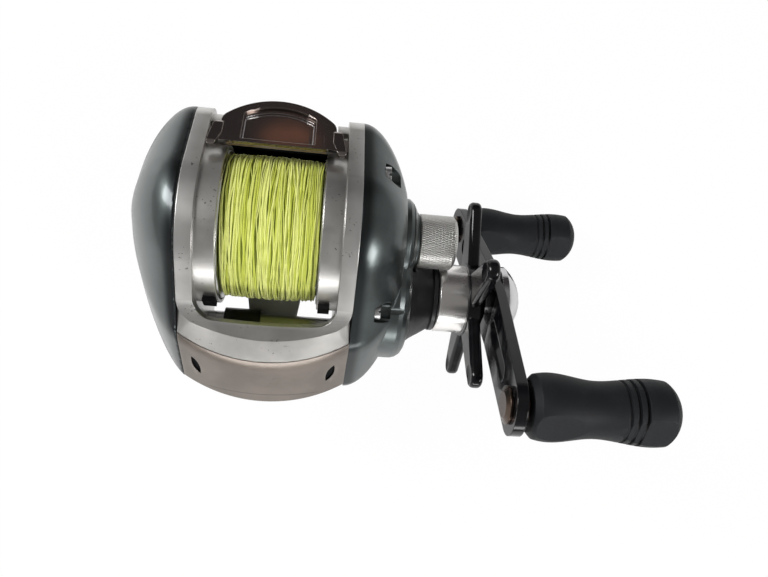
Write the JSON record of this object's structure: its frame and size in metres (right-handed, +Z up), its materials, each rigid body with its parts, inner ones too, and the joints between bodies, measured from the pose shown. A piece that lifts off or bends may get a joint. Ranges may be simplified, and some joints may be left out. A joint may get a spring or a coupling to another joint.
{
  "type": "baitcasting reel",
  "caption": "Low-profile baitcasting fishing reel with level-wind line guide, star drag, thumb-bar clutch and a double-knob handle, wound with braided line.",
  "frame": {"origin": "centre of the foot's underside, where it rests on the rod's reel seat", "axes": "+X along the spool axis towards the handle, -Y towards the line guide and the rod's tip, +Z up away from the rod"},
  "size_m": [0.1197, 0.0702, 0.0804],
  "materials": {
    "frame_silver": "satin silver paint on cast aluminium",
    "hood_silver": "warm grey metallic paint, satin",
    "gunmetal": "dark grey-green metallic paint, gloss",
    "foot_grey": "satin grey paint",
    "black_chrome": "dark plated gloss",
    "chrome": "bright plated",
    "cap_silver": "knurled, clear anodised",
    "spool_silver": "turned and polished",
    "gloss_black": "gloss black",
    "black_resin": "moulded, low sheen",
    "knob_rubber": "matte, fine grain",
    "braid": "braided line, yellow-green, slightly fuzzy",
    "steel": "ground stainless",
    "brass": "machined",
    "bronze": "dark bronze plated",
    "carbon": "woven carbon friction face",
    "ceramic": "polished hard ring"
  },
  "bodies": {
    "frame": {"frame": "frame_silver", "front_hood": "hood_silver", "palm_plate": "gunmetal", "gear_plate": "gunmetal", "plate_screws": "steel", "clutch_housing": "black_resin", "one_way_clutch": "steel", "foot": "foot_grey", "foot_rivets": "steel", "brake_plate": "frame_silver", "palm_bearing": "steel", "pinion_bearing": "steel", "cap_bearing": "steel", "drive_bearing": "steel", "worm_tube": "steel", "worm_bushes": "black_resin", "guide_bar": "steel", "yoke_posts": "steel"},
    "drive": {"drive_shaft": "steel", "main_gear": "brass", "wind_gear": "black_resin", "ratchet": "steel", "drag_washers": "carbon", "pressure_plate": "steel", "drive_sleeve": "steel", "handle_arm": "gloss_black", "knob_posts": "bronze", "dome_nut": "chrome"},
    "star_drag": {"star_wheel": "gloss_black", "star_sleeve": "chrome", "spring_washers": "steel"},
    "near_knob": {"near_knob": "knob_rubber"},
    "far_knob": {"far_knob": "knob_rubber"},
    "cast_knob": {"cast_cap": "cap_silver"},
    "spool": {"spool": "spool_silver", "wound_line": "braid", "spool_shaft": "steel", "brake_rotor": "black_resin", "brake_shoes": "black_resin"},
    "pinion": {"pinion": "brass"},
    "yoke": {"clutch_yoke": "black_resin"},
    "thumb_bar": {"thumb_bar": "black_chrome", "clutch_cam": "steel"},
    "worm": {"worm_shaft": "steel", "worm_gear": "black_resin"},
    "line_guide": {"line_guide": "black_resin", "eye_ring": "ceramic", "pawl": "brass"}
  },
  "joints": [
    {"name": "handle_turn", "type": "hinge", "parent": "frame", "child": "drive", "pos_m": [0, -0.0104, 0.01532], "axis": [1, 0, 0], "continuous": true},
    {"name": "star_turn", "type": "hinge", "parent": "drive", "child": "star_drag", "pos_m": [0, -0.0104, 0.01532], "axis": [1, 0, 0], "range_deg": [-270, 270]},
    {"name": "near_knob_spin", "type": "hinge", "parent": "drive", "child": "near_knob", "pos_m": [0.06, -0.03006, 0.04842], "axis": [1, 0, 0], "continuous": true},
    {"name": "far_knob_spin", "type": "hinge", "parent": "drive", "child": "far_knob", "pos_m": [0.06, 0.00926, -0.01778], "axis": [1, 0, 0], "continuous": true},
    {"name": "spool_spin", "type": "hinge", "parent": "frame", "child": "spool", "pos_m": [0, 0.003, 0.0226], "axis": [1, 0, 0], "continuous": true},
    {"name": "worm_spin", "type": "hinge", "parent": "frame", "child": "worm", "pos_m": [0, -0.0212, 0.00943], "axis": [1, 0, 0], "continuous": true},
    {"name": "guide_slide", "type": "slide", "parent": "frame", "child": "line_guide", "axis": [1, 0, 0], "range_m": [-0.003, 0.017]},
    {"name": "thumb_press", "type": "slide", "parent": "frame", "child": "thumb_bar", "axis": [0, 0.1961, -0.9806], "range_m": [0, 0.004]},
    {"name": "clutch_shift", "type": "slide", "parent": "frame", "child": "yoke", "axis": [1, 0, 0], "range_m": [0, 0.0012]},
    {"name": "pinion_spin", "type": "hinge", "parent": "yoke", "child": "pinion", "pos_m": [0, 0.003, 0.0226], "axis": [1, 0, 0], "continuous": true},
    {"name": "cap_turn", "type": "hinge", "parent": "frame", "child": "cast_knob", "pos_m": [0.038, 0.003, 0.0226], "axis": [1, 0, 0], "range_deg": [-270, 270]}
  ],
  "couplings": [
    {"joint": "spool_spin", "follows": "handle_turn", "ratio": -5.1},
    {"joint": "pinion_spin", "follows": "handle_turn", "ratio": -5.1},
    {"joint": "worm_spin", "follows": "handle_turn", "ratio": -1.9286},
    {"joint": "clutch_shift", "follows": "thumb_press", "ratio": 0.3}
  ]
}
